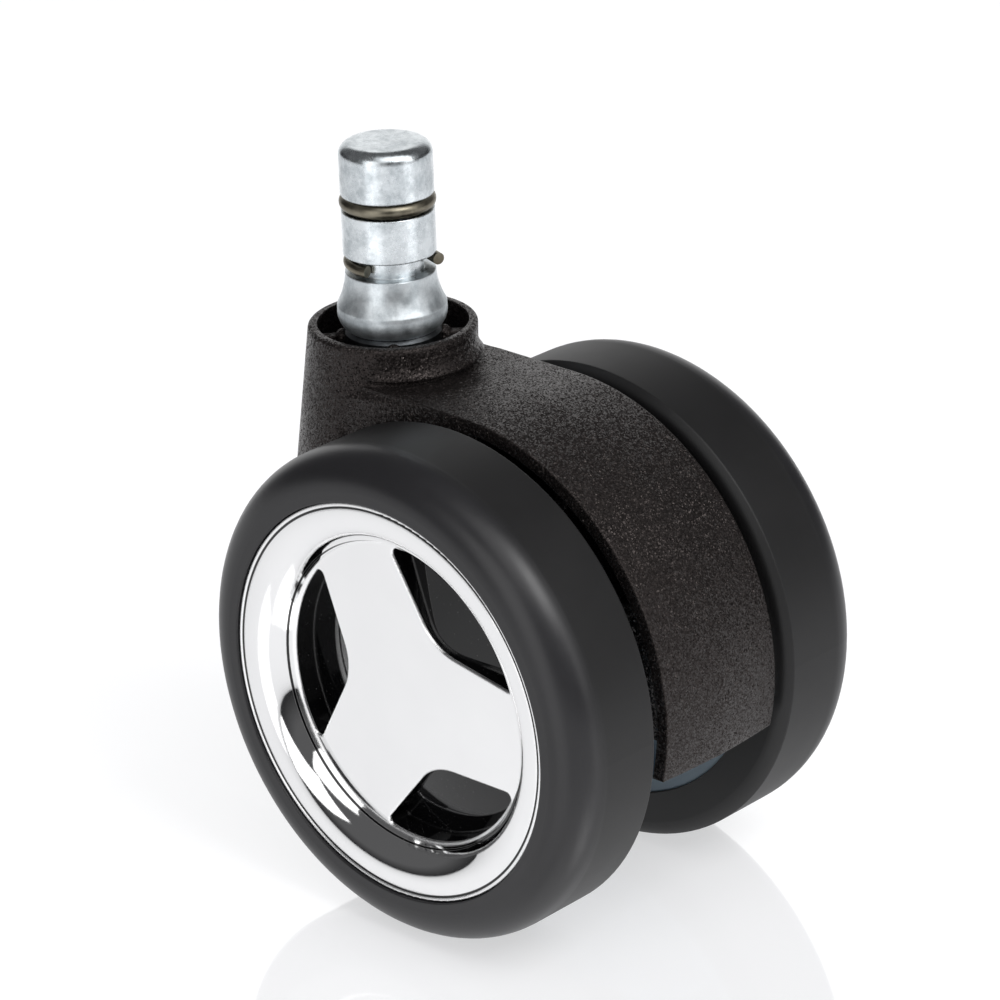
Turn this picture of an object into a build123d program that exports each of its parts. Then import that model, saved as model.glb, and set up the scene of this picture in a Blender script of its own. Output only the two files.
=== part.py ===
from build123d import *
from math import acos, atan2, cos, radians, sin, tan
import os

# Twin-wheel chair castor. Millimetres, +Z up. Heights are given above the floor, and the finished pieces
# are lowered so that the origin is on the stem's axis, at the foot of its plain grip length.
# The wheels trail toward +X, their axle lies along Y, and the left wheel is on the -Y side.

# Wheels
WHEEL_RADIUS = 30.0          # 60 mm castor wheel
TRAIL = 20.85                # stem axis to axle
TYRE_INNER_Y = 12.26         # tyre face that looks at the hood
TYRE_OUTER_Y = 24.78         # tyre face beside the trim cap
TYRE_SHOULDER = 4.4          # rounded outer shoulder of the tread
TYRE_LAND = 0.3              # least flat between shoulder and cap
TYRE_LIP = 0.9               # bevelled lip inside the tread's sharp edge
TYRE_LIP_WIDTH = 1.8
TYRE_LIP_BULGE = 0.2
TREAD_WALL = 5.7             # tread's outside to the rim
TYRE_BORE = WHEEL_RADIUS - TREAD_WALL  # radius where tread, rim and trim cap meet
RIM_WALL = 1.9
RIM_RECESS = 0.2             # rim's inner face behind the tyre's
RIM_OUTER_Y = 21.9
RIM_KEY = 0.9                # height of the keying rib under the tread
RIM_KEY_WIDTH = 3.2
DISC_RECESS = 3.1            # disc behind the rim's inner face
DISC_WALL = 1.7
CORE_RIB_COUNT = 9
CORE_RIB_WALL = 1.3
CORE_RIB_INSET = 0.4         # rib below the rim's inner face
CORE_RIB_ROOT = 0.5          # how far a rib runs into hub and rim
HUB_RADIUS = 7.0
HUB_LENGTH = 4.9

# Trim cap
CAP_EDGE_GAP = 0.05
CAP_RIM_Y = 24.5             # outer edge of the dished ring
CAP_LIP = 0.6                # narrow round bead outside the ring
CAP_LIP_STEP = 0.15          # ring's edge below the bead
RING_WIDTH = 5.2             # tyre's bore to the ring's foot
RING_INNER_RADIUS = TYRE_BORE - RING_WIDTH
RING_INNER_Y = 22.3
RING_BULGE = 0.8
RING_FOOT = 0.65             # ring's foot to the flat face
SPOKE_FACE_RADIUS = RING_INNER_RADIUS - RING_FOOT
SPOKE_FACE_Y = 21.15
CAP_WALL = 1.4
POCKET_COUNT = 3
POCKET_ANGLE = 56.0          # middle of the first pocket, from +X toward +Z
POCKET_HALF_ANGLE = 39.45
POCKET_MARGIN = 0.35         # flat face left outside each pocket
POCKET_OUTER_RADIUS = SPOKE_FACE_RADIUS - POCKET_MARGIN
POCKET_INNER_RADIUS = 8.76
POCKET_INNER_FILLET = 7.0
POCKET_OUTER_FILLET = 0.7
POCKET_DEPTH_INNER = 0.8
POCKET_DEPTH_OUTER = 3.0
POCKET_WALL = 1.0
POCKET_EDGE = 0.2            # rounded edge round each pocket
CAP_SKIRT = 1.2
CAP_SKIRT_DEPTH = 3.2
CAP_SKIRT_ROOT = 0.5

# Axle
AXLE_RADIUS = 4.0
RUNNING_GAP = 0.05           # radial clearance of every turning fit
END_GAP = 0.3                # axial clearance between turning faces
AXLE_CLIP_WALL = 0.9
AXLE_CLIP_DEPTH = 0.8
AXLE_CLIP_RADIUS = 6.0
AXLE_CLIP_OPENING = 100.0
AXLE_TAIL = 0.8              # axle end past its clip
AXLE_EDGE = 0.3

# Stem, upward from the collar's rim
STEM_RADIUS = 5.5            # 11 mm grip-ring stem
FLANGE_RISE = 2.35           # collar rim to the flange's upper edge
FLARE_HEIGHT = 4.15          # flange to the lower groove
LOWER_GROOVE_WIDTH = 2.3
RING_SPACING = 6.3           # lower groove's upper edge to the upper ring
STEM_HEAD = 7.1              # upper ring to the stem's top
STEM_TOP_EDGE = 1.4
UPPER_RING_WIRE = 0.88       # radius of the wire
UPPER_RING_STAND = 0.2       # how far the wire stands proud of the stem
UPPER_RING_OPENING = 14.0
UPPER_RING_TURN = 135.0
LOWER_RING_WIRE = 0.72
LOWER_RING_OPENING = 154.0
LOWER_RING_TURN = -79.0      # angle of the clip's tucked end round the stem
LOWER_RING_TAIL = 3.1        # straight end that springs out of the groove
LOWER_RING_TILT = 2.0        # tucked end lower than the sprung one
GROOVE_SIDE_GAP = 0.1
FLARE_TOP_RADIUS = 5.35
FLARE_HOLLOW = 0.25          # depth of the flare's hollow curve
FLANGE_RADIUS = 6.5
FLANGE_EDGE = 0.45
FLANGE_FOOT_RADIUS = 5.5
FLANGE_BULGE = 0.36          # bowl under the flange
FLANGE_FOOT_GAP = 0.1        # flange foot above the sleeve
JOURNAL_RADIUS = 4.0
JOURNAL_EDGE = 0.9
STEM_CLIP_WIRE = 0.55
STEM_CLIP_OPENING = 60.0
STEM_CLIP_TURN = 150.0
STEM_TAIL = 2.2

# Hood
COLLAR_TOP_Z = 64.6
COLLAR_RADIUS = 10.05
COLLAR_WALL = 1.05
COLLAR_EDGE = 0.5
NECK_FOOT_Z = 30.0
NECK_FOOT_RADIUS = 11.8
NECK_LEAN = 3.6              # how far the neck's foot leans forward
NECK_WALL = 2.0
WHEEL_SIDE_GAP = 0.45        # neck's flat sides to the turning tyres
SLEEVE_TOP_DROP = 0.65       # sleeve below the collar rim
SLEEVE_RADIUS = 5.8
SLEEVE_LENGTH = 20.0
SLEEVE_EDGE = 0.4
TUBE_WALL = 1.2
TUBE_DROP = 3.0              # tube below the collar rim
WELL_DEPTH = 12.0            # open ring between tube and collar
WELL_FLOOR = 2.2
COLLAR_RIB_WALL = 1.2
COLLAR_RIB_DROP = 1.5
LUG_COUNT = 4
LUG_TURN = 45.0
LUG_RADIUS = 1.0
LUG_INSET = 1.05             # lug's axis inside the tube's outer wall
LUG_DROP = 0.8
HOOD_HALF_WIDTH = 9.4
FENDER_RADIUS = 30.45        # at the parting plane
FENDER_CROWN = 0.52          # parting plane above the flanks
FENDER_BULGE = 0.07          # each half's own curve
FENDER_SHIFT_X = -0.45       # fender arc's centre from the axle
FENDER_SHIFT_Z = 0.25
FENDER_END_ANGLE = -12.9
FENDER_WALL = 1.65
FENDER_EDGE = 0.5
WEB_HALF = 2.0
CHEEK_WALL = 1.65            # side walls between neck and fender
CHEEK_TOP_X = 22.0
CHEEK_FOOT_X = 10.0
COVE_RADIUS = 15.2           # shallow dish in the fender round the neck's foot
COVE_DEPTH = 0.6
COVE_SAG = 0.2
BLEND_RUN = 14.0             # stem axis to where neck and flank are one
BLEND_SLOPE = 60.0           # steep shoulder over the blend
BLEND_SINK = 0.08            # tangent's depth in the neck
NOSE_X = -11.5               # front lower corner of the neck
NOSE_Z = 42.0
BOSS_RADIUS = 7.0
FENDER_RIB_ANGLES = (92.0, 60.0, 28.0)
FENDER_RIB_WALL = 1.6
FENDER_RIB_INSET = 1.6

# Derived positions
hub_inner_y = TYRE_INNER_Y - END_GAP / 2
boss_half = hub_inner_y - END_GAP
neck_half = TYRE_INNER_Y - TYRE_LIP - WHEEL_SIDE_GAP
hub_outer_y = hub_inner_y + HUB_LENGTH
axle_clip_y = hub_outer_y + END_GAP
axle_half = axle_clip_y + AXLE_CLIP_WALL + AXLE_TAIL
rim_bore = TYRE_BORE - RIM_WALL
rim_inner_y = TYRE_INNER_Y - TYRE_LIP + RIM_RECESS
disc_inner_y = rim_inner_y + DISC_RECESS
cap_radius = TYRE_BORE - CAP_EDGE_GAP
sleeve_top_z = COLLAR_TOP_Z - SLEEVE_TOP_DROP
sleeve_foot_z = sleeve_top_z - SLEEVE_LENGTH
flange_foot_z = sleeve_top_z + FLANGE_FOOT_GAP
flange_top_z = COLLAR_TOP_Z + FLANGE_RISE
lower_groove_foot_z = flange_top_z + FLARE_HEIGHT
lower_groove_top_z = lower_groove_foot_z + LOWER_GROOVE_WIDTH
upper_ring_z = lower_groove_top_z + RING_SPACING
stem_top_z = upper_ring_z + STEM_HEAD
stem_clip_z = sleeve_foot_z - END_GAP - STEM_CLIP_WIRE
stem_foot_z = stem_clip_z - STEM_CLIP_WIRE - STEM_TAIL
tube_radius = SLEEVE_RADIUS + TUBE_WALL
fender_x = TRAIL + FENDER_SHIFT_X
fender_z = WHEEL_RADIUS + FENDER_SHIFT_Z
flank_radius = FENDER_RADIUS - FENDER_CROWN
fender_bore = flank_radius - FENDER_WALL
fender_end_x = fender_x + FENDER_RADIUS * cos(radians(FENDER_END_ANGLE))
fender_end_z = fender_z + FENDER_RADIUS * sin(radians(FENDER_END_ANGLE))
fender_mid = radians((90 + FENDER_END_ANGLE) / 2)

axle_axis = Axis((TRAIL, 0, WHEEL_RADIUS), (0, 1, 0))
wheel_section = Plane(origin=(TRAIL, 0, WHEEL_RADIUS))
wheel_face = Plane(origin=(TRAIL, 0, WHEEL_RADIUS), x_dir=(1, 0, 0), z_dir=(0, -1, 0))


def turned(points, plane, axis):
    """Solid of revolution from a closed polygon in a half section."""
    outline = Polyline(*points, close=True)
    return revolve(plane * make_face(outline), axis=axis)


def bulged(start, end, bulge):
    """Middle point of an arc that stands off the chord to the right of its direction."""
    run = end[0] - start[0]
    rise = end[1] - start[1]
    chord = (run**2 + rise**2) ** 0.5
    return ((start[0] + end[0]) / 2 + bulge * rise / chord, (start[1] + end[1]) / 2 - bulge * run / chord)


def wire_ring(mean_radius, wire, height, opening, start):
    """Open ring of round wire about the stem's axis."""
    section = Plane.XZ * (Pos(mean_radius, height) * Circle(wire))
    ring = revolve(section, axis=Axis.Z, revolution_arc=360 - opening)
    return Rot(0, 0, start) * ring


# Stem: one turned and zinc-plated steel pin. A plain top with a rounded edge, a deep groove for each
# grip ring, a flared flange that carries the load, and a slimmer journal inside the hood.
upper_mean = STEM_RADIUS + UPPER_RING_STAND - UPPER_RING_WIRE
upper_floor = upper_mean - UPPER_RING_WIRE - UPPER_RING_STAND
upper_half = UPPER_RING_WIRE + GROOVE_SIDE_GAP
lower_mean = STEM_RADIUS - LOWER_RING_WIRE
lower_floor = lower_mean - LOWER_RING_WIRE - GROOVE_SIDE_GAP
clip_mean = JOURNAL_RADIUS
clip_floor = clip_mean - STEM_CLIP_WIRE
clip_half = STEM_CLIP_WIRE + GROOVE_SIDE_GAP
flare_start = (FLARE_TOP_RADIUS, lower_groove_foot_z)
flare_end = (FLANGE_RADIUS, flange_top_z)
bowl_start = (FLANGE_RADIUS, flange_top_z - FLANGE_EDGE)
bowl_end = (FLANGE_FOOT_RADIUS, flange_foot_z)

with BuildSketch(Plane.XZ) as stem_half:
    with BuildLine():
        top_in = (STEM_RADIUS - STEM_TOP_EDGE, stem_top_z)
        top_out = (STEM_RADIUS, stem_top_z - STEM_TOP_EDGE)
        edge_mid = STEM_TOP_EDGE * (1 - cos(radians(45)))
        Line((0, stem_top_z), top_in)
        ThreePointArc(top_in, (STEM_RADIUS - edge_mid, stem_top_z - edge_mid), top_out)
        Polyline(
            top_out,
            (STEM_RADIUS, upper_ring_z + upper_half),
            (upper_floor, upper_ring_z + upper_half),
            (upper_floor, upper_ring_z - upper_half),
            (STEM_RADIUS, upper_ring_z - upper_half),
            (STEM_RADIUS, lower_groove_top_z),
            (lower_floor, lower_groove_top_z),
            (lower_floor, lower_groove_foot_z),
            flare_start,
        )
        ThreePointArc(flare_start, bulged(flare_start, flare_end, FLARE_HOLLOW), flare_end)
        Line(flare_end, bowl_start)
        ThreePointArc(bowl_start, bulged(bowl_start, bowl_end, -FLANGE_BULGE), bowl_end)
        Polyline(
            bowl_end,
            (JOURNAL_RADIUS, flange_foot_z),
            (JOURNAL_RADIUS, stem_clip_z + clip_half),
            (clip_floor, stem_clip_z + clip_half),
            (clip_floor, stem_clip_z - clip_half),
            (JOURNAL_RADIUS, stem_clip_z - clip_half),
            (JOURNAL_RADIUS, stem_foot_z + JOURNAL_EDGE),
            (JOURNAL_RADIUS - JOURNAL_EDGE, stem_foot_z),
            (0, stem_foot_z),
            (0, stem_top_z),
        )
    make_face()
stem = revolve(stem_half.sketch, axis=Axis.Z)

# Grip rings: spring wire that holds the stem in a chair base's socket. The upper one is nearly closed.
# The lower one is a wide open clip. One end is tucked in its groove, the other springs out past the stem.
upper_grip_ring = wire_ring(upper_mean, UPPER_RING_WIRE, upper_ring_z, UPPER_RING_OPENING, UPPER_RING_TURN)
lower_ring_z = (lower_groove_foot_z + lower_groove_top_z) / 2
lower_start = LOWER_RING_TURN + LOWER_RING_OPENING
tail_turn = radians(lower_start)
tail_plane = Plane(
    origin=(lower_mean * cos(tail_turn), lower_mean * sin(tail_turn), 0),
    z_dir=(sin(tail_turn), -cos(tail_turn), 0),
)
lower_grip_ring = wire_ring(lower_mean, LOWER_RING_WIRE, 0, LOWER_RING_OPENING, lower_start)
lower_grip_ring = lower_grip_ring + extrude(tail_plane * Circle(LOWER_RING_WIRE), amount=LOWER_RING_TAIL)
tilt_axis = Axis((0, 0, 0), (cos(tail_turn), sin(tail_turn), 0))
lower_grip_ring = Pos(0, 0, lower_ring_z) * lower_grip_ring.rotate(tilt_axis, LOWER_RING_TILT)

# Stem clip: the wire ring under the sleeve that keeps the stem in the hood.
stem_clip = wire_ring(clip_mean, STEM_CLIP_WIRE, stem_clip_z, STEM_CLIP_OPENING, STEM_CLIP_TURN)

# Stem sleeve: plain steel tube pressed into the hood, in which the stem turns.
stem_sleeve = turned(
    [
        (JOURNAL_RADIUS + RUNNING_GAP, sleeve_foot_z),
        (SLEEVE_RADIUS, sleeve_foot_z),
        (SLEEVE_RADIUS, sleeve_top_z - SLEEVE_EDGE),
        (SLEEVE_RADIUS - SLEEVE_EDGE, sleeve_top_z),
        (JOURNAL_RADIUS + RUNNING_GAP, sleeve_top_z),
    ],
    Plane.XZ,
    Axis.Z,
)

# Hood: one black nylon moulding. Each half of the fender falls away from the parting plane at Y = 0, so
# that a faint ridge runs along its middle. A web, ribs and a boss carry the axle between open pockets.
fender_top_z = fender_z + FENDER_RADIUS
flank_top_z = fender_z + flank_radius
under_slope = (NOSE_Z - fender_end_z) / (TRAIL - NOSE_X)
crown_top = (0, FENDER_RADIUS)
left_top = (-HOOD_HALF_WIDTH, flank_radius)
right_top = (HOOD_HALF_WIDTH, flank_radius)
with BuildSketch(Plane.YZ) as fender_section:
    with BuildLine():
        ThreePointArc(left_top, bulged(left_top, crown_top, -FENDER_BULGE), crown_top)
        ThreePointArc(crown_top, bulged(crown_top, right_top, -FENDER_BULGE), right_top)
        Polyline(right_top, (HOOD_HALF_WIDTH, 0), (-HOOD_HALF_WIDTH, 0), left_top)
    make_face()
    fillet(fender_section.vertices().filter_by(lambda v: v.Z > FENDER_EDGE and abs(v.Y) > FENDER_EDGE), FENDER_EDGE)
fender_axis = Axis((fender_x, 0, fender_z), (0, 1, 0))
section_face = Pos(fender_x, 0, fender_z) * fender_section.sketch
fender = revolve(section_face, axis=fender_axis, revolution_arc=180)
fender = fender + extrude(section_face, amount=-fender_x)
fender = fender + Pos(fender_x / 2, 0, fender_z / 2) * Box(fender_x, 2 * HOOD_HALF_WIDTH, fender_z)

# A shallow dish in the fender runs round the foot of the neck.
cove_in = (0, fender_top_z - COVE_DEPTH)
cove_foot = (COLLAR_RADIUS, fender_top_z - COVE_DEPTH)
cove_rim = (COVE_RADIUS, fender_top_z)
with BuildSketch(Plane.XZ) as cove_half:
    with BuildLine():
        Line(cove_in, cove_foot)
        ThreePointArc(cove_foot, bulged(cove_foot, cove_rim, COVE_SAG), cove_rim)
        Polyline(cove_rim, (COVE_RADIUS, stem_top_z), (0, stem_top_z), cove_in)
    make_face()
fender = fender - revolve(cove_half.sketch, axis=Axis.Z)

# One cut shapes the underside: flat under the fender's end and sloping up to the neck's front corner.
cut_reach = FENDER_RADIUS
under_cut = Plane.XZ * make_face(
    Polyline(
        (fender_end_x + cut_reach, fender_end_z),
        (TRAIL, fender_end_z),
        (NOSE_X - cut_reach, NOSE_Z + under_slope * cut_reach),
        (NOSE_X - cut_reach, -cut_reach),
        (fender_end_x + cut_reach, -cut_reach),
        close=True,
    )
)
under_block = extrude(under_cut, amount=3 * HOOD_HALF_WIDTH, both=True)
fender = fender - under_block

# Neck and collar: a round neck that widens and leans forward on its way down, cut off by a sloping foot
# and flattened beside the wheels.
neck_top = Plane(origin=(0, 0, COLLAR_TOP_Z))
neck_foot = Plane(origin=(-NECK_LEAN, 0, NECK_FOOT_Z))
neck = loft([neck_foot * Circle(NECK_FOOT_RADIUS), neck_top * Circle(COLLAR_RADIUS)])
collar_edge = neck.edges().sort_by(Axis.Z)[-1]
neck = fillet(collar_edge, COLLAR_EDGE)
neck = neck - under_block
neck_flats = Pos(0, 0, COLLAR_TOP_Z) * Box(8 * FENDER_RADIUS, 2 * neck_half, 8 * FENDER_RADIUS)
neck = neck & neck_flats


def blend_outline(lean, radius):
    """Straight sides that leave the round neck along a tangent and end on the fender's flank."""
    run = BLEND_RUN + lean
    reach = (run**2 + HOOD_HALF_WIDTH**2) ** 0.5
    turn = atan2(HOOD_HALF_WIDTH, run) + acos((radius - BLEND_SINK) / reach)
    side = (radius - BLEND_SINK) * sin(turn)
    front = (radius - BLEND_SINK) * cos(turn) - lean
    return make_face(
        Polyline(
            (BLEND_RUN, HOOD_HALF_WIDTH),
            (front, side),
            (front, -side),
            (BLEND_RUN, -HOOD_HALF_WIDTH),
            close=True,
        )
    )


# Blend: on each side the neck runs into the fender's flank along a tangent, under a steep shoulder.
blend = loft([neck_foot * blend_outline(NECK_LEAN, NECK_FOOT_RADIUS), neck_top * blend_outline(0, COLLAR_RADIUS)])
shoulder_top_z = flank_top_z - FENDER_EDGE
shoulder_run = HOOD_HALF_WIDTH * tan(radians(BLEND_SLOPE))
shoulder_face = Plane.YZ * make_face(
    Polyline(
        (HOOD_HALF_WIDTH, shoulder_top_z),
        (2 * HOOD_HALF_WIDTH, shoulder_top_z - shoulder_run),
        (2 * HOOD_HALF_WIDTH, 0),
        (-2 * HOOD_HALF_WIDTH, 0),
        (-2 * HOOD_HALF_WIDTH, shoulder_top_z - shoulder_run),
        (-HOOD_HALF_WIDTH, shoulder_top_z),
        close=True,
    )
)
blend = blend & extrude(shoulder_face, amount=2 * BLEND_RUN, both=True)
blend = (blend & neck_flats) - under_block

# Open pockets beside the web, bounded by the fender's inner arc, with a cheek left standing on each side
# next to the neck.
inner_top_z = fender_z + fender_bore
with BuildSketch(Plane.XZ) as pocket_outline:
    with BuildLine():
        Line((0, inner_top_z), (fender_x, inner_top_z))
        ThreePointArc(
            (fender_x, inner_top_z),
            (fender_x + fender_bore * cos(fender_mid), fender_z + fender_bore * sin(fender_mid)),
            (fender_x + fender_bore * cos(radians(FENDER_END_ANGLE)), fender_end_z),
        )
        Polyline(
            (fender_x + fender_bore * cos(radians(FENDER_END_ANGLE)), fender_end_z),
            (fender_x + fender_bore * cos(radians(FENDER_END_ANGLE)), 0),
            (0, 0),
            (0, inner_top_z),
        )
    make_face()
pocket_half = extrude(pocket_outline.sketch, amount=2 * HOOD_HALF_WIDTH, both=True)
web_slab = Pos(TRAIL, 0, WHEEL_RADIUS) * Box(8 * FENDER_RADIUS, 2 * WEB_HALF, 8 * FENDER_RADIUS)
cheek_face = Plane.XZ * make_face(
    Polyline((0, fender_top_z), (CHEEK_TOP_X, fender_top_z), (CHEEK_FOOT_X, 0), (0, 0), close=True)
)
cheek_slab = extrude(cheek_face, amount=2 * HOOD_HALF_WIDTH, both=True)
cheek_gap = Pos(0, 0, fender_z) * Box(8 * FENDER_RADIUS, 2 * (HOOD_HALF_WIDTH - CHEEK_WALL), 8 * FENDER_RADIUS)
hood = fender - (pocket_half - web_slab - (cheek_slab - cheek_gap))

# Ribs from the axle boss to the fender.
rib_reach = fender_bore + FENDER_WALL / 2
rib_half = HOOD_HALF_WIDTH - FENDER_RIB_INSET
for rib_angle in FENDER_RIB_ANGLES:
    rib = Pos(rib_reach / 2, 0, 0) * Box(rib_reach, 2 * rib_half, FENDER_RIB_WALL)
    hood = hood + Pos(fender_x, 0, fender_z) * (Rot(0, -rib_angle, 0) * rib)

# The neck's two hollows: the ring-shaped well round the tube, and the space below it.
well_floor_z = COLLAR_TOP_Z - WELL_DEPTH
well_outer = COLLAR_RADIUS - COLLAR_WALL
well = Pos(0, 0, well_floor_z) * Cylinder(well_outer, 2 * WELL_DEPTH, align=(Align.CENTER, Align.CENTER, Align.MIN))
tube_top_z = COLLAR_TOP_Z - TUBE_DROP
tube = Pos(0, 0, sleeve_foot_z) * Cylinder(
    tube_radius, tube_top_z - sleeve_foot_z, align=(Align.CENTER, Align.CENTER, Align.MIN)
)
collar_rib_top = COLLAR_TOP_Z - COLLAR_RIB_DROP
collar_rib = Pos(SLEEVE_RADIUS, 0, well_floor_z) * Box(
    well_outer - SLEEVE_RADIUS + COLLAR_WALL / 2,
    COLLAR_RIB_WALL,
    collar_rib_top - well_floor_z,
    align=(Align.MIN, Align.CENTER, Align.MIN),
)
lug_foot = Pos(tube_radius - LUG_INSET, 0, well_floor_z) * Cylinder(
    LUG_RADIUS, COLLAR_TOP_Z - LUG_DROP - LUG_RADIUS - well_floor_z, align=(Align.CENTER, Align.CENTER, Align.MIN)
)
lug_head = Pos(tube_radius - LUG_INSET, 0, COLLAR_TOP_Z - LUG_DROP - LUG_RADIUS) * Sphere(LUG_RADIUS)
lug = lug_foot + lug_head
space_top_z = well_floor_z - WELL_FLOOR
space_lean = NECK_LEAN * (COLLAR_TOP_Z - space_top_z) / (COLLAR_TOP_Z - NECK_FOOT_Z)
space = loft(
    [
        neck_foot.offset(-NECK_WALL) * Circle(NECK_FOOT_RADIUS - NECK_WALL),
        Plane(origin=(-space_lean, 0, space_top_z)) * Circle(COLLAR_RADIUS - NECK_WALL),
    ]
)
hood = hood + neck
hood = hood + (blend - cheek_gap)
hood = hood - (space - web_slab)
hood = hood - well
hood = hood + tube
for turn in range(LUG_COUNT):
    placed = Rot(0, 0, LUG_TURN + 360 * turn / LUG_COUNT)
    hood = hood + placed * collar_rib
    hood = hood + placed * lug

# Axle boss and bores.
boss = extrude(wheel_face * Circle(BOSS_RADIUS), amount=boss_half, both=True)
hood = hood + boss
hood = hood - extrude(wheel_face * Circle(AXLE_RADIUS), amount=2 * boss_half, both=True)
stem_bore = Pos(0, 0, stem_foot_z - 2 * END_GAP) * Cylinder(
    SLEEVE_RADIUS, COLLAR_TOP_Z, align=(Align.CENTER, Align.CENTER, Align.MIN)
)
hood = hood - stem_bore

# Axle: ground steel pin pressed through the boss, with a groove for each clip.
clip_groove = AXLE_RADIUS - AXLE_CLIP_DEPTH
axle_points = [(0, 0), (AXLE_RADIUS, 0)]
axle_points += [(AXLE_RADIUS, axle_clip_y), (clip_groove, axle_clip_y)]
axle_points += [(clip_groove, axle_clip_y + AXLE_CLIP_WALL), (AXLE_RADIUS, axle_clip_y + AXLE_CLIP_WALL)]
axle_points += [(AXLE_RADIUS, axle_half - AXLE_EDGE), (AXLE_RADIUS - AXLE_EDGE, axle_half), (0, axle_half)]
half_axle = turned(axle_points, wheel_section, axle_axis)
axle = half_axle + mirror(half_axle, about=Plane.XZ)

# Axle clips: open spring washers in the axle's grooves, outside each hub.
clip_section = wheel_section * make_face(
    Polyline(
        (clip_groove, axle_clip_y),
        (AXLE_CLIP_RADIUS, axle_clip_y),
        (AXLE_CLIP_RADIUS, axle_clip_y + AXLE_CLIP_WALL),
        (clip_groove, axle_clip_y + AXLE_CLIP_WALL),
        close=True,
    )
)
right_clip = revolve(clip_section, axis=axle_axis, revolution_arc=360 - AXLE_CLIP_OPENING)
axle_clips = Compound(children=[right_clip, mirror(right_clip, about=Plane.XZ)])

# Wheel core: blue-grey moulding with a hub, a ribbed disc, and a rim under the tread.
disc_outer_y = disc_inner_y + DISC_WALL
hub_bore = AXLE_RADIUS + RUNNING_GAP
key_y = (rim_inner_y + RIM_OUTER_Y) / 2
key_half = RIM_KEY_WIDTH / 2
core_half = [
    (hub_bore, hub_inner_y),
    (HUB_RADIUS, hub_inner_y),
    (HUB_RADIUS, disc_inner_y),
    (rim_bore, disc_inner_y),
    (rim_bore, rim_inner_y),
    (TYRE_BORE, rim_inner_y),
    (TYRE_BORE, key_y - key_half),
    (TYRE_BORE + RIM_KEY, key_y - key_half),
    (TYRE_BORE + RIM_KEY, key_y + key_half),
    (TYRE_BORE, key_y + key_half),
    (TYRE_BORE, RIM_OUTER_Y),
    (rim_bore, RIM_OUTER_Y),
    (rim_bore, disc_outer_y),
    (HUB_RADIUS, disc_outer_y),
    (HUB_RADIUS, hub_outer_y),
    (hub_bore, hub_outer_y),
]
right_wheel_core = turned(core_half, wheel_section, axle_axis)
rib_span = rim_bore - HUB_RADIUS + 2 * CORE_RIB_ROOT
core_rib_depth = disc_inner_y - rim_inner_y - CORE_RIB_INSET
core_rib = Pos(HUB_RADIUS - CORE_RIB_ROOT, disc_inner_y, 0) * Box(
    rib_span, 2 * core_rib_depth, CORE_RIB_WALL, align=(Align.MIN, Align.CENTER, Align.CENTER)
)
core_rib_trim = Pos(HUB_RADIUS - CORE_RIB_ROOT, disc_outer_y, 0) * Box(
    rib_span, 2 * core_rib_depth, 2 * CORE_RIB_WALL, align=(Align.MIN, Align.MIN, Align.CENTER)
)
core_rib = core_rib - core_rib_trim
for turn in range(CORE_RIB_COUNT):
    placed = Pos(TRAIL, 0, WHEEL_RADIUS) * (Rot(0, 360 * turn / CORE_RIB_COUNT, 0) * core_rib)
    right_wheel_core = right_wheel_core + placed

# Tyre: soft black tread moulded round the rim. Its edge beside the hood is sharp, with a bevelled lip
# inside it, and its outer shoulder is well rounded.
shoulder = min(TYRE_SHOULDER, WHEEL_RADIUS - TYRE_BORE - TYRE_LAND)
shoulder_mid = shoulder * (1 - cos(radians(45)))
lip_edge = (WHEEL_RADIUS, TYRE_INNER_Y)
lip_foot = (WHEEL_RADIUS - TYRE_LIP_WIDTH, TYRE_INNER_Y - TYRE_LIP)
with BuildSketch(wheel_section) as tyre_half:
    with BuildLine():
        Line((WHEEL_RADIUS, TYRE_OUTER_Y - shoulder), lip_edge)
        ThreePointArc(lip_edge, bulged(lip_edge, lip_foot, -TYRE_LIP_BULGE), lip_foot)
        Polyline(
            lip_foot,
            (TYRE_BORE, TYRE_INNER_Y - TYRE_LIP),
            (TYRE_BORE, key_y - key_half),
            (TYRE_BORE + RIM_KEY, key_y - key_half),
            (TYRE_BORE + RIM_KEY, key_y + key_half),
            (TYRE_BORE, key_y + key_half),
            (TYRE_BORE, TYRE_OUTER_Y),
            (WHEEL_RADIUS - shoulder, TYRE_OUTER_Y),
        )
        ThreePointArc(
            (WHEEL_RADIUS - shoulder, TYRE_OUTER_Y),
            (WHEEL_RADIUS - shoulder_mid, TYRE_OUTER_Y - shoulder_mid),
            (WHEEL_RADIUS, TYRE_OUTER_Y - shoulder),
        )
    make_face()
right_tyre = revolve(tyre_half.sketch, axis=axle_axis)

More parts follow.
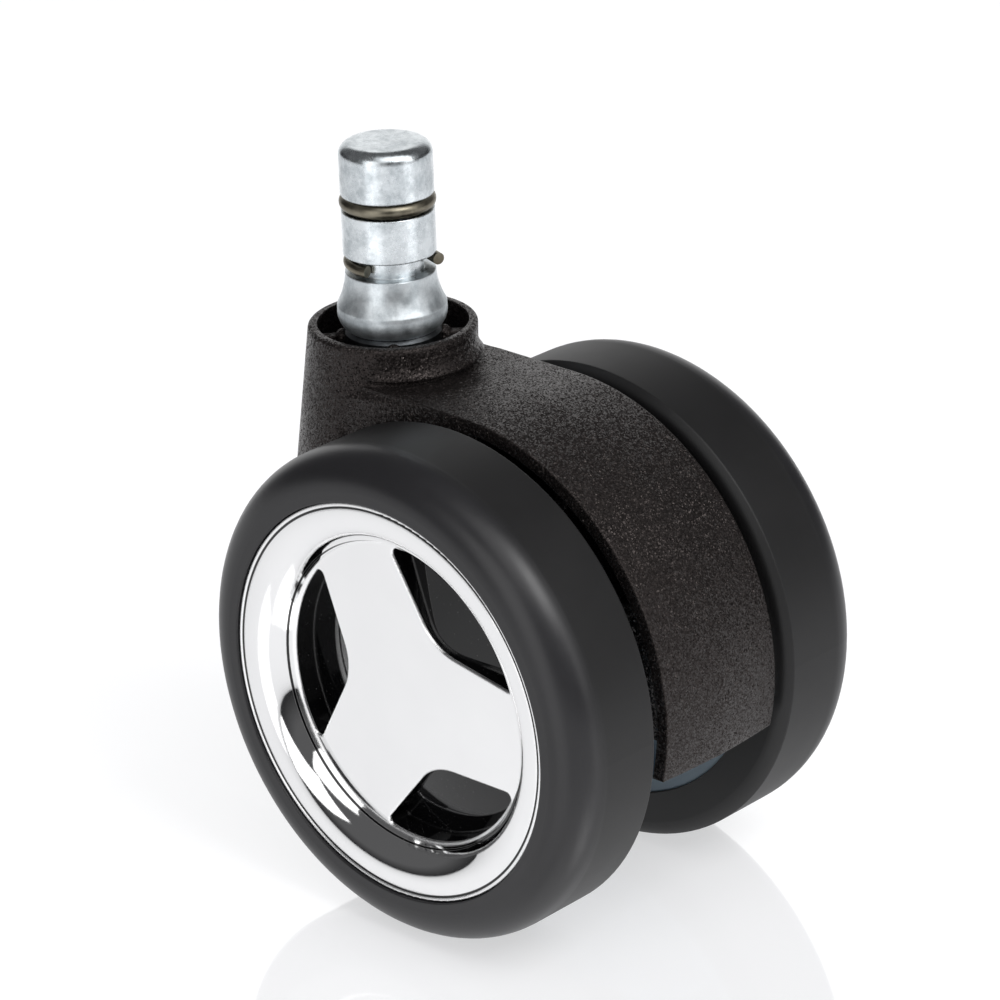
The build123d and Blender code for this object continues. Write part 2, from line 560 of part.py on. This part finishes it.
# Trim cap: plated moulding with a dished convex ring, a flat three-spoke face and a pocket between each
# two spokes. Each pocket's floor falls away toward the ring. A skirt plugs into the rim.
ring_start = (cap_radius - CAP_LIP - CAP_LIP_STEP, CAP_RIM_Y - CAP_LIP_STEP)
ring_end = (RING_INNER_RADIUS, RING_INNER_Y)
face_back_y = SPOKE_FACE_Y - CAP_WALL
skirt_radius = rim_bore - CAP_EDGE_GAP
skirt_bore = skirt_radius - CAP_SKIRT
cap_seat_y = RIM_OUTER_Y
with BuildSketch(wheel_section) as cap_half:
    with BuildLine():
        Polyline(
            ring_end,
            (SPOKE_FACE_RADIUS, SPOKE_FACE_Y),
            (0, SPOKE_FACE_Y),
            (0, face_back_y),
            (SPOKE_FACE_RADIUS, face_back_y),
            (skirt_bore, cap_seat_y - CAP_SKIRT_ROOT),
            (skirt_bore, cap_seat_y - CAP_SKIRT_DEPTH),
            (skirt_radius, cap_seat_y - CAP_SKIRT_DEPTH),
            (skirt_radius, cap_seat_y),
            (cap_radius, cap_seat_y),
            (cap_radius, CAP_RIM_Y - CAP_LIP / 2),
        )
        ThreePointArc(
            (cap_radius, CAP_RIM_Y - CAP_LIP / 2),
            (cap_radius - CAP_LIP / 2, CAP_RIM_Y),
            (cap_radius - CAP_LIP, CAP_RIM_Y - CAP_LIP / 2),
        )
        Line((cap_radius - CAP_LIP, CAP_RIM_Y - CAP_LIP / 2), ring_start)
        ThreePointArc(ring_start, bulged(ring_start, ring_end, RING_BULGE), ring_end)
    make_face()
cap = revolve(cap_half.sketch, axis=axle_axis)


def pocket_shape(grow):
    """Pocket outline about the wheel's axis, straight to the hub corner and round at the ring."""
    half = radians(POCKET_HALF_ANGLE)
    far = POCKET_OUTER_RADIUS
    corner = (far * cos(half), far * sin(half))
    with BuildSketch() as shape:
        with BuildLine():
            Line((POCKET_INNER_RADIUS, 0), corner)
            ThreePointArc(corner, (far, 0), (corner[0], -corner[1]))
            Line((corner[0], -corner[1]), (POCKET_INNER_RADIUS, 0))
        make_face()
        near = shape.vertices().sort_by(Axis.X)[0]
        fillet(near, POCKET_INNER_FILLET)
        ends = shape.vertices().group_by(lambda v: round(abs(v.Y), 3))[-1]
        fillet(ends, POCKET_OUTER_FILLET)
        if grow > 0:
            offset(amount=grow)
    return shape.sketch


def floor_block(drop):
    """Everything behind the coned pocket floor, dropped by a wall."""
    fall = (POCKET_DEPTH_OUTER - POCKET_DEPTH_INNER) / (POCKET_OUTER_RADIUS - POCKET_INNER_RADIUS)
    top = SPOKE_FACE_Y - POCKET_DEPTH_INNER - drop
    reach = WHEEL_RADIUS
    return turned(
        [
            (0, top + fall * POCKET_INNER_RADIUS),
            (reach, top - fall * (reach - POCKET_INNER_RADIUS)),
            (reach, 0),
            (0, 0),
        ],
        wheel_section,
        axle_axis,
    )


floor_solid = floor_block(0)
back_solid = floor_block(POCKET_WALL)
cups = []
hollows = []
for turn in range(POCKET_COUNT):
    swing = Rot(0, 0, POCKET_ANGLE + 360 * turn / POCKET_COUNT)
    cup = extrude(wheel_face * (swing * pocket_shape(POCKET_WALL)), amount=-(face_back_y + CAP_WALL / 2))
    cups.append(cup - back_solid)
    hollow = extrude(wheel_face * (swing * pocket_shape(0)), amount=-2 * SPOKE_FACE_Y)
    hollows.append(hollow - floor_solid)
for cup in cups:
    cap = cap + cup
for hollow in hollows:
    cap = cap - hollow


def on_pocket_edge(edge):
    """True for an edge of the flat face that runs round a pocket."""
    middle = edge.center()
    reach = ((middle.X - TRAIL) ** 2 + (middle.Z - WHEEL_RADIUS) ** 2) ** 0.5
    return abs(middle.Y - SPOKE_FACE_Y) < 0.001 and reach < POCKET_OUTER_RADIUS + 0.001


right_cap = fillet(cap.edges().filter_by(on_pocket_edge), POCKET_EDGE)

# The left wheel's pieces are the same, turned to face the other way.
left_wheel_core = mirror(right_wheel_core, about=Plane.XZ)
left_tyre = mirror(right_tyre, about=Plane.XZ)
left_cap = mirror(right_cap, about=Plane.XZ)

pieces = {
    "stem": stem,
    "upper_grip_ring": upper_grip_ring,
    "lower_grip_ring": lower_grip_ring,
    "stem_clip": stem_clip,
    "stem_sleeve": stem_sleeve,
    "hood": hood,
    "axle": axle,
    "axle_clips": axle_clips,
    "left_wheel_core": left_wheel_core,
    "right_wheel_core": right_wheel_core,
    "left_tyre": left_tyre,
    "right_tyre": right_tyre,
    "left_cap": left_cap,
    "right_cap": right_cap,
}
os.makedirs("parts", exist_ok=True)
for name, piece in pieces.items():
    export_step(Pos(0, 0, -lower_groove_top_z) * piece, f"parts/{name}.step")
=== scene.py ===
import math

import bpy
from mathutils import Matrix, Vector


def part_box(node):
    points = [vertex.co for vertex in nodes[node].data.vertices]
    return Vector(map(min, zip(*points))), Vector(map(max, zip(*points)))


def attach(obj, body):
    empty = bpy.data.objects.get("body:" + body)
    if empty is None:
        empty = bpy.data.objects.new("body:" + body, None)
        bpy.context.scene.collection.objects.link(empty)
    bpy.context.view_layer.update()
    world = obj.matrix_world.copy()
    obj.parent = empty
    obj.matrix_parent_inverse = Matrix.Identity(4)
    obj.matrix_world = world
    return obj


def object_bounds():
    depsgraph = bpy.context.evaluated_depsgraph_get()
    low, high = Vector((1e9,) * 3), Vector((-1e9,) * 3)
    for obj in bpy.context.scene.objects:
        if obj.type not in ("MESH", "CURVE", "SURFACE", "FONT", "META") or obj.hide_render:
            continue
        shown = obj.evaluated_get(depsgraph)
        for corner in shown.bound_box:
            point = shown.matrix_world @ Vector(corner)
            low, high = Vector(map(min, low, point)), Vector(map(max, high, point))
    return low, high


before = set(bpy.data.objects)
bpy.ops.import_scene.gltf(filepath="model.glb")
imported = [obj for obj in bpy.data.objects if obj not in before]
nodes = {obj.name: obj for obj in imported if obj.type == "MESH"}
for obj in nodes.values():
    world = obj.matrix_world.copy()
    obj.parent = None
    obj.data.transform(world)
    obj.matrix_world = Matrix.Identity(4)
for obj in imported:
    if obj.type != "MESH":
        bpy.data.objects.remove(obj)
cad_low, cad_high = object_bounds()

# Hood. One black nylon moulding that carries the axle between the wheels and guards their tops.
# It comes from a spark-eroded mould, so its skin has a fine even grain that glitters under the lamps. Its
# paler grain cells are painted glints.
hood_black = (0.0085, 0.0072, 0.007, 1.0)
hood_painted_glint = (0.045, 0.039, 0.038, 1.0)
glint_start = 0.55
glint_full = 1.0
hood_grit = 0.00016
grit_tilt = 5.5
hood_cloud = 0.004
hood_cloud_detail = 3.0
hood_smooth = 0.28
hood_rough = 0.38
hood_shine = 0.32
hood_shine_tint = (1.0, 0.86, 0.82, 1.0)
hood_edge = 0.0004


def start_finish(title):
    finish = bpy.data.materials.new(title)
    finish.use_nodes = True
    tree = finish.node_tree
    shader = tree.nodes["Principled BSDF"]
    place = tree.nodes.new("ShaderNodeTexCoord").outputs["Object"]
    return finish, tree, shader, place


def feed(tree, value, socket):
    if isinstance(value, bpy.types.NodeSocket):
        tree.links.new(value, socket)
    else:
        socket.default_value = value


def figure(tree, operation, *values, kind="ShaderNodeMath", result="Value"):
    sum_node = tree.nodes.new(kind)
    sum_node.operation = operation
    for value, socket in zip(values, sum_node.inputs):
        feed(tree, value, socket)
    return sum_node.outputs[result]


def figure_vector(tree, operation, *values, result="Vector"):
    return figure(tree, operation, *values, kind="ShaderNodeVectorMath", result=result)


def grain(tree, place, size, detail=2.0, roughness=0.5):
    noise = tree.nodes.new("ShaderNodeTexNoise")
    noise.inputs["Scale"].default_value = 1.0 / size
    noise.inputs["Detail"].default_value = detail
    noise.inputs["Roughness"].default_value = roughness
    tree.links.new(place, noise.inputs["Vector"])
    return noise.outputs["Fac"]


def spread(tree, value, low, high, start=0.3, end=0.7):
    remap = tree.nodes.new("ShaderNodeMapRange")
    remap.inputs["From Min"].default_value = start
    remap.inputs["From Max"].default_value = end
    remap.inputs["To Min"].default_value = low
    remap.inputs["To Max"].default_value = high
    tree.links.new(value, remap.inputs["Value"])
    return remap.outputs["Result"]


def two_tone(tree, value, dark, pale, start=0.3, end=0.7):
    ramp = tree.nodes.new("ShaderNodeValToRGB")
    ramp.color_ramp.elements[0].position = start
    ramp.color_ramp.elements[0].color = dark
    ramp.color_ramp.elements[1].position = end
    ramp.color_ramp.elements[1].color = pale
    tree.links.new(value, ramp.inputs["Fac"])
    return ramp.outputs["Color"]


def soft_edges(tree, radius):
    bevel = tree.nodes.new("ShaderNodeBevel")
    bevel.samples = 6
    bevel.inputs["Radius"].default_value = radius
    return bevel.outputs["Normal"]


def grit(tree, place, size):
    cells = tree.nodes.new("ShaderNodeTexVoronoi")
    cells.inputs["Scale"].default_value = 1.0 / size
    tree.links.new(place, cells.inputs["Vector"])
    return cells.outputs["Color"]


def tilt_facets(tree, facets, amount, under):
    centred = figure_vector(tree, "SUBTRACT", facets, (0.5, 0.5, 0.5))
    square = figure_vector(tree, "MULTIPLY", centred, centred)
    cube = figure_vector(tree, "MULTIPLY", square, centred)
    eased = figure_vector(tree, "MULTIPLY_ADD", cube, (amount, amount, amount), under)
    return figure_vector(tree, "NORMALIZE", eased)


def dress(finish, *names):
    for name in names:
        for socket in nodes[name].material_slots:
            socket.material = finish


hood_finish, tree, shader, place = start_finish("spark grained nylon")
sparks = grit(tree, place, hood_grit)
# Painted glints: random grain cells get a paler colour that stands in for sparkle.
hood_tone = two_tone(tree, sparks, hood_black, hood_painted_glint, glint_start, glint_full)
hood_polish = spread(tree, grain(tree, place, hood_cloud, hood_cloud_detail), hood_smooth, hood_rough)
tree.links.new(hood_tone, shader.inputs["Base Color"])
tree.links.new(hood_polish, shader.inputs["Roughness"])
shader.inputs["Specular IOR Level"].default_value = hood_shine
shader.inputs["Specular Tint"].default_value = hood_shine_tint
hood_skin = tilt_facets(tree, sparks, grit_tilt, soft_edges(tree, hood_edge))
tree.links.new(hood_skin, shader.inputs["Normal"])
dress(hood_finish, "hood")

# Collar lip. The rounded ledge at the collar's foot, where it stands over the dish in the fender.
# It belongs to the hood's moulding: the collar's wall flares out to it and turns back under.
collar_top = cad_low.z + 0.0646
collar_radius = 0.01005
collar_taper = 0.0506
collar_lean = 0.104
lip_height = cad_low.z + 0.06098
lip_reach = 0.00085
lip_round = 0.0003
lip_rise = 0.0022
lip_sunk = 0.0004
lip_half_turn = math.radians(68.0)
lip_roll = math.radians(150.0)
lip_steps = 72
flare_steps = 8
flare_power = 3
round_steps = 6
end_power = 4
lip_outline = [(-lip_sunk, lip_rise)]
for step in range(flare_steps + 1):
    fall = step / flare_steps
    lip_outline.append((lip_reach * fall**flare_power, lip_rise * (1.0 - fall)))
for step in range(1, round_steps + 1):
    roll = lip_roll * step / round_steps
    lip_outline.append((lip_reach - lip_round * (1.0 - math.cos(roll)), -lip_round * math.sin(roll)))
lip_outline.append((-lip_sunk, -lip_round))
lip_points = []
lip_faces = []
for step in range(lip_steps + 1):
    along = 2.0 * step / lip_steps - 1.0
    swell = 1.0 - along**end_power
    turn = along * lip_half_turn
    for stand, rise in lip_outline:
        height = lip_height + rise
        drop = collar_top - height
        reach = collar_radius + collar_taper * drop + min(stand, stand * swell + lip_sunk * (swell - 1.0))
        lip_points.append((reach * math.cos(turn) - collar_lean * drop, reach * math.sin(turn), height))
outline_count = len(lip_outline)
for step in range(lip_steps):
    for spot in range(outline_count):
        here = step * outline_count + spot
        beside = step * outline_count + (spot + 1) % outline_count
        lip_faces.append((here, here + outline_count, beside + outline_count, beside))
lip_faces.append(tuple(range(outline_count)))
lip_faces.append(tuple(reversed(range(lip_steps * outline_count, (lip_steps + 1) * outline_count))))
lip_mesh = bpy.data.meshes.new("collar_lip")
lip_mesh.from_pydata(lip_points, [], lip_faces)
lip_mesh.shade_smooth()
lip_mesh.materials.append(hood_finish)
collar_lip = bpy.data.objects.new("collar_lip", lip_mesh)
bpy.context.scene.collection.objects.link(collar_lip)
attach(collar_lip, "hood")

# Stem sleeve. A short drawn steel tube pressed into the hood's collar, in which the stem turns.
# Only its top ring shows, dull and a little greasy.
sleeve_dark = (0.06, 0.065, 0.07, 1.0)
sleeve_pale = (0.16, 0.17, 0.18, 1.0)
smear_size = 0.003
smear_detail = 4.0
smear_break = 0.6
sleeve_smooth = 0.22
sleeve_rough = 0.5
sleeve_finish, tree, shader, place = start_finish("drawn sleeve steel")
shader.inputs["Metallic"].default_value = 1.0
smear = grain(tree, place, smear_size, smear_detail, smear_break)
tree.links.new(two_tone(tree, smear, sleeve_dark, sleeve_pale), shader.inputs["Base Color"])
tree.links.new(spread(tree, smear, sleeve_smooth, sleeve_rough), shader.inputs["Roughness"])
dress(sleeve_finish, "stem_sleeve")

# Stem. A steel pin turned in a lathe and bright zinc plated, with two ring grooves and a flared flange.
# Its skin shows faint turning lines, cloudy patches in the plating and scuffs from handling.
# The polish dulls down the flare to the bowl.
zinc_pale = (0.82, 0.865, 0.89, 1.0)
zinc_dull = (0.5, 0.545, 0.57, 1.0)
zinc_dull_end = 0.36
zinc_pale_start = 0.6
bowl_rim_z = cad_low.z + 0.0665
flare_top_z = cad_low.z + 0.0725
bowl_dullness = 0.26
plating_size = 0.0016
plating_detail = 6.0
plating_break = 0.62
plating_smooth = 0.16
plating_rough = 0.36
patch_size = 0.003
patch_detail = 6.0
patch_break = 0.72
turning_lines = 900.0
turning_waver = 1.2
turning_detail = 1.0
turning_strength = 0.02
turning_depth = 0.00003
scuff_strength = 0.45
scuff_depth = 0.00008
stem_edge = 0.00025


def raise_skin(tree, height, strength, depth, under=None):
    bump = tree.nodes.new("ShaderNodeBump")
    bump.inputs["Strength"].default_value = strength
    bump.inputs["Distance"].default_value = depth
    tree.links.new(height, bump.inputs["Height"])
    if under is not None:
        tree.links.new(under, bump.inputs["Normal"])
    return bump.outputs["Normal"]


def measured(tree, place, axis):
    axes = tree.nodes.new("ShaderNodeSeparateXYZ")
    tree.links.new(place, axes.inputs["Vector"])
    return axes.outputs[axis]


stem_finish, tree, shader, place = start_finish("bright zinc plate")
shader.inputs["Metallic"].default_value = 1.0
plating = grain(tree, place, plating_size, plating_detail, plating_break)
patches = grain(tree, place, patch_size, patch_detail, patch_break)
turning = tree.nodes.new("ShaderNodeTexWave")
turning.wave_type = "BANDS"
turning.bands_direction = "Z"
turning.inputs["Scale"].default_value = turning_lines
turning.inputs["Distortion"].default_value = turning_waver
turning.inputs["Detail"].default_value = turning_detail
tree.links.new(place, turning.inputs["Vector"])
zinc_tone = two_tone(tree, patches, zinc_dull, zinc_pale, zinc_dull_end, zinc_pale_start)
tree.links.new(zinc_tone, shader.inputs["Base Color"])
dulled = spread(tree, measured(tree, place, "Z"), bowl_dullness, 0.0, bowl_rim_z, flare_top_z)
clouded = spread(tree, plating, plating_smooth, plating_rough)
tree.links.new(figure(tree, "ADD", dulled, clouded), shader.inputs["Roughness"])
scuffs = raise_skin(tree, plating, scuff_strength, scuff_depth, soft_edges(tree, stem_edge))
stem_skin = raise_skin(tree, turning.outputs["Fac"], turning_strength, turning_depth, scuffs)
tree.links.new(stem_skin, shader.inputs["Normal"])
dress(stem_finish, "stem")

# Grip rings and clips. Bent spring wire and open washers, oiled and tinted a light bronze by their heat.
# They snap into the grooves of the stem and the axle.
wire_dark = (0.13, 0.115, 0.085, 1.0)
wire_pale = (0.3, 0.275, 0.215, 1.0)
tint_size = 0.0022
tint_detail = 4.0
tint_break = 0.6
wire_smooth = 0.28
wire_rough = 0.46
draw_size = 0.0003
draw_detail = 3.0
draw_strength = 0.1
draw_depth = 0.00003
wire_finish, tree, shader, place = start_finish("oiled spring wire")
shader.inputs["Metallic"].default_value = 1.0
tint = grain(tree, place, tint_size, tint_detail, tint_break)
tree.links.new(two_tone(tree, tint, wire_dark, wire_pale), shader.inputs["Base Color"])
tree.links.new(spread(tree, tint, wire_smooth, wire_rough), shader.inputs["Roughness"])
draw_marks = grain(tree, place, draw_size, draw_detail)
tree.links.new(raise_skin(tree, draw_marks, draw_strength, draw_depth), shader.inputs["Normal"])
dress(wire_finish, "upper_grip_ring", "lower_grip_ring", "stem_clip", "axle_clips")

# Axle. A ground steel pin pressed through the hood's boss.
# Both wheels turn on its ends, so it stays bare and smooth.
steel_dark = (0.4, 0.42, 0.44, 1.0)
steel_pale = (0.56, 0.58, 0.6, 1.0)
ground_size = 0.0008
ground_detail = 4.0
ground_break = 0.6
axle_smooth = 0.18
axle_rough = 0.32
axle_finish, tree, shader, place = start_finish("ground axle steel")
shader.inputs["Metallic"].default_value = 1.0
ground = grain(tree, place, ground_size, ground_detail, ground_break)
tree.links.new(two_tone(tree, ground, steel_dark, steel_pale), shader.inputs["Base Color"])
tree.links.new(spread(tree, ground, axle_smooth, axle_rough), shader.inputs["Roughness"])
dress(axle_finish, "axle")

# Wheel cores. Blue-grey mouldings with a hub on the axle, a ribbed disc and a rim under the tread.
# From the front they only show as a pale edge inside the wheels, from behind with their ribs.
core_blue = (0.38, 0.49, 0.58, 1.0)
core_pale = (0.47, 0.59, 0.68, 1.0)
flow_size = 0.009
flow_detail = 3.0
core_smooth = 0.36
core_rough = 0.5
core_pore = 0.0004
pore_strength = 0.08
pore_depth = 0.00004
core_edge = 0.0003
core_finish, tree, shader, place = start_finish("blue grey core")
flow = grain(tree, place, flow_size, flow_detail)
tree.links.new(two_tone(tree, flow, core_blue, core_pale), shader.inputs["Base Color"])
tree.links.new(spread(tree, flow, core_smooth, core_rough), shader.inputs["Roughness"])
pores = grain(tree, place, core_pore)
core_skin = raise_skin(tree, pores, pore_strength, pore_depth, soft_edges(tree, core_edge))
tree.links.new(core_skin, shader.inputs["Normal"])
dress(core_finish, "left_wheel_core", "right_wheel_core")

# Tyres. Soft black treads moulded round the rims, satin and a little dusty.
# They are rounded outside and end in a sharp edge beside the hood. The outer faces are smoother
# than the running surface, and their paler colour is painted light from the front.
tread_black = (0.006, 0.0058, 0.0062, 1.0)
tread_dust = (0.009, 0.0086, 0.0092, 1.0)
face_painted_lit_black = (0.018, 0.0175, 0.0195, 1.0)
face_painted_lit_dust = (0.024, 0.0235, 0.026, 1.0)
tread_edge = 0.0198
face_edge = 0.0216
tread_rough = 0.5
face_rough = 0.34
haze_size = 0.014
haze_detail = 4.0
haze_break = 0.6
haze_rough = 0.03
skin_size = 0.0005
skin_detail = 3.0
skin_break = 0.6
skin_strength = 0.06
skin_depth = 0.00004
tyre_shine = 0.46
tyre_edge = 0.0003


def blend(tree, share, under, over):
    mix = tree.nodes.new("ShaderNodeMix")
    mix.data_type = "RGBA"
    tree.links.new(share, mix.inputs["Factor"])
    under_socket, over_socket = [socket for socket in mix.inputs if socket.type == "RGBA"]
    feed(tree, under, under_socket)
    feed(tree, over, over_socket)
    return [socket for socket in mix.outputs if socket.type == "RGBA"][0]


tyre_finish, tree, shader, place = start_finish("soft black tread")
haze = grain(tree, place, haze_size, haze_detail, haze_break)
skin = grain(tree, place, skin_size, skin_detail, skin_break)
outward = figure(tree, "ABSOLUTE", measured(tree, place, "Y"))
# Painted light: the outer faces get a paler colour than the running surface.
painted_lit_face_share = spread(tree, outward, 0.0, 1.0, tread_edge, face_edge)
tread_tone = two_tone(tree, haze, tread_black, tread_dust)
face_painted_lit_tone = two_tone(tree, haze, face_painted_lit_black, face_painted_lit_dust)
tree.links.new(blend(tree, painted_lit_face_share, tread_tone, face_painted_lit_tone), shader.inputs["Base Color"])
rubbed = spread(tree, outward, tread_rough, face_rough, tread_edge, face_edge)
hazed = spread(tree, haze, -haze_rough, haze_rough)
tree.links.new(figure(tree, "ADD", rubbed, hazed), shader.inputs["Roughness"])
shader.inputs["Specular IOR Level"].default_value = tyre_shine
tyre_skin = raise_skin(tree, skin, skin_strength, skin_depth, soft_edges(tree, tyre_edge))
tree.links.new(tyre_skin, shader.inputs["Normal"])
dress(tyre_finish, "left_tyre", "right_tyre")

# Trim caps. Plastic mouldings under mirror chrome, snapped into the rims, with a dished ring,
# a flat face of three spokes and a pocket between each two. The plating stops at the pockets' edge,
# and a painted shade line in unplated black follows the bead outside the ring and another the ring's
# foot.
chrome_pale = (0.95, 0.95, 0.95, 1.0)
chrome_dull = (0.925, 0.925, 0.927, 1.0)
pocket_and_shade_line_black = (0.004, 0.004, 0.0045, 1.0)
pocket_dust = (0.1, 0.1, 0.1, 1.0)
plating_stop = 0.02083
plating_full = 0.02097
bead_shade_line = 0.02358
bead_shade_line_half = 0.00011
foot_shade_line = 0.0188
foot_shade_line_half = 0.00006
line_fade = 1.6
dust_per_metre = 1400.0
dust_core = 0.06
dust_rim = 0.12
breath_size = 0.01
breath_detail = 3.0
chrome_smooth = 0.02
chrome_rough = 0.06
ripple_size = 0.004
ripple_detail = 1.0
ripple_strength = 0.02
ripple_depth = 0.00004
chrome_edge = 0.0005
chrome_finish, tree, shader, place = start_finish("mirror chrome")
axle_low, axle_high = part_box("axle")
axle_middle = (axle_low + axle_high) / 2
from_axle = figure_vector(tree, "SUBTRACT", place, axle_middle)
across = figure_vector(tree, "MULTIPLY", from_axle, (1.0, 0.0, 1.0))
radius = figure_vector(tree, "LENGTH", across, result="Value")
outward = figure(tree, "ABSOLUTE", measured(tree, place, "Y"))
plated_but_shade_lines = spread(tree, outward, 0.0, 1.0, plating_stop, plating_full)
# Painted shade: thin rings at the bead and at the ring's foot are unplated and coloured black.
for shade_line_radius, shade_line_half in ((bead_shade_line, bead_shade_line_half), (foot_shade_line, foot_shade_line_half)):
    gap = figure(tree, "ABSOLUTE", figure(tree, "SUBTRACT", radius, shade_line_radius))
    beside_shade_line = spread(tree, gap, 0.0, 1.0, shade_line_half, line_fade * shade_line_half)
    plated_but_shade_lines = figure(tree, "MINIMUM", plated_but_shade_lines, beside_shade_line)
tree.links.new(plated_but_shade_lines, shader.inputs["Metallic"])
specks = tree.nodes.new("ShaderNodeTexVoronoi")
specks.inputs["Scale"].default_value = dust_per_metre
tree.links.new(place, specks.inputs["Vector"])
pocket_and_shade_line_tone = two_tone(tree, specks.outputs["Distance"], pocket_dust, pocket_and_shade_line_black, dust_core, dust_rim)
breath = grain(tree, place, breath_size, breath_detail)
chrome_tone = two_tone(tree, breath, chrome_pale, chrome_dull)
tree.links.new(blend(tree, plated_but_shade_lines, pocket_and_shade_line_tone, chrome_tone), shader.inputs["Base Color"])
tree.links.new(spread(tree, breath, chrome_smooth, chrome_rough), shader.inputs["Roughness"])
ripple = grain(tree, place, ripple_size, ripple_detail)
chrome_skin = raise_skin(tree, ripple, ripple_strength, ripple_depth, soft_edges(tree, chrome_edge))
tree.links.new(chrome_skin, shader.inputs["Normal"])
dress(chrome_finish, "left_cap", "right_cap")

# Floor. A pale glossy table top under the castor that fills the view and keeps its soft shadow
# and a weak reflection of its wheels. Its glow shows to the camera and in gloss and glass alone,
# so it adds only reflections to the castor.
floor_z = cad_low.z
floor_reach = 1.2
floor_glow = 0.585
floor_glow_tint = (0.97, 0.975, 0.985, 1.0)
floor_grey = (0.6, 0.6, 0.612, 1.0)
floor_rough = 0.06
floor_gloss = 2.6
floor_mesh = bpy.data.meshes.new("table_top")
floor_corners = []
for corner_x, corner_y in ((1, -1), (1, 1), (-1, 1), (-1, -1)):
    floor_corners.append((corner_x * floor_reach, corner_y * floor_reach, floor_z))
floor_mesh.from_pydata(floor_corners, [], [(0, 1, 2, 3)])
floor = bpy.data.objects.new("table_top", floor_mesh)
bpy.context.scene.collection.objects.link(floor)
floor_finish, tree, shader, place = start_finish("pale table")
shader.inputs["Base Color"].default_value = floor_grey
shader.inputs["Roughness"].default_value = floor_rough
shader.inputs["IOR"].default_value = floor_gloss
shader.inputs["Emission Color"].default_value = floor_glow_tint
seen = tree.nodes.new("ShaderNodeLightPath")
mirrored = figure(tree, "MAXIMUM", seen.outputs["Is Glossy Ray"], seen.outputs["Is Transmission Ray"])
shown = figure(tree, "MAXIMUM", seen.outputs["Is Camera Ray"], mirrored)
tree.links.new(spread(tree, shown, 0.0, floor_glow, 0.0, 1.0), shader.inputs["Emission Strength"])
floor_finish.cycles.emission_sampling = "NONE"
floor_mesh.materials.append(floor_finish)

# Studio. A dim room, darker below than above, with a white backdrop behind the castor.
# The camera sees white all round. Soft boxes face the left wheel, stand at the camera's right
# and hang above it.
room_low = (0.022, 0.022, 0.023, 1.0)
room_grey = (0.095, 0.095, 0.097, 1.0)
room_low_end = 0.0
room_grey_start = 0.32
wall_white = (1.0, 1.0, 1.0, 1.0)
wall_direction = (-0.695, 0.719, 0.0)
wall_edge_start = 0.78
wall_edge_end = 0.87
room = bpy.data.worlds.new("studio")
room.use_nodes = True
bpy.context.scene.world = room
tree = room.node_tree
backdrop = tree.nodes["Background"]
look = tree.nodes.new("ShaderNodeTexCoord").outputs["Generated"]
facing = figure_vector(tree, "DOT_PRODUCT", look, wall_direction, result="Value")
wall_share = spread(tree, facing, 0.0, 1.0, wall_edge_start, wall_edge_end)
seen = tree.nodes.new("ShaderNodeLightPath")
white_share = figure(tree, "MAXIMUM", wall_share, seen.outputs["Is Camera Ray"])
upward = measured(tree, look, "Z")
room_tone = two_tone(tree, upward, room_low, room_grey, room_low_end, room_grey_start)
tree.links.new(blend(tree, white_share, room_tone, wall_white), backdrop.inputs["Color"])


def soft_box(name, place, aim, width, height, power):
    lamp = bpy.data.lights.new(name, "AREA")
    lamp.shape = "RECTANGLE"
    lamp.size = width
    lamp.size_y = height
    lamp.energy = power
    box = bpy.data.objects.new(name, lamp)
    box.location = place
    box.rotation_mode = "QUATERNION"
    box.rotation_quaternion = (Vector(aim) - Vector(place)).to_track_quat("-Z", "Y")
    bpy.context.scene.collection.objects.link(box)


soft_box(
    "front_box", place=(0.07, -0.444, 0.11), aim=(0.02, 0.0, 0.0),
    width=0.275, height=0.34, power=0.5,
)
soft_box(
    "right_box", place=(0.473, 0.109, 0.258), aim=(0.0, 0.0, 0.0),
    width=0.25, height=0.6, power=0.7,
)
soft_box(
    "key_box", place=(0.42, -0.03, 0.42), aim=(0.02, 0.0, -0.02),
    width=0.26, height=0.26, power=1.1,
)
soft_box(
    "high_box", place=(0.25, -0.17, 0.42), aim=(0.02, -0.02, -0.04),
    width=0.42, height=0.42, power=0.8,
)

# Camera. It looks down on the castor from the right of its left wheel, tilted by two degrees.
# Its place and lens were fitted to the outlines of the stem, collar, treads and cap.
camera_azimuth = math.radians(44.063)
camera_elevation = math.radians(23.277)
camera_roll = math.radians(-2.044)
camera_distance = 0.49338
aim_side = 0.011845
aim_height = 0.04104
eye = bpy.data.cameras.new("photo_view")
eye.sensor_width = 36.0
eye.lens = 147.84
eye.clip_start = 0.01
eye.clip_end = 10.0
camera = bpy.data.objects.new("photo_view", eye)
back_level = math.cos(camera_elevation)
back_x = math.sin(camera_azimuth) * back_level
back_y = -math.cos(camera_azimuth) * back_level
back = Vector((back_x, back_y, math.sin(camera_elevation)))
level = Vector((math.cos(camera_azimuth), math.sin(camera_azimuth), 0.0))
right = level * math.cos(camera_roll) + back.cross(level) * math.sin(camera_roll)
up = back.cross(right)
stand_point = level * aim_side + Vector((0.0, 0.0, floor_z + aim_height)) + back * camera_distance
camera_turn = Matrix((right, up, back)).transposed().to_4x4()
camera.matrix_world = Matrix.Translation(stand_point) @ camera_turn
bpy.context.scene.collection.objects.link(camera)
bpy.context.scene.camera = camera
bpy.context.scene.view_settings.view_transform = "Standard"
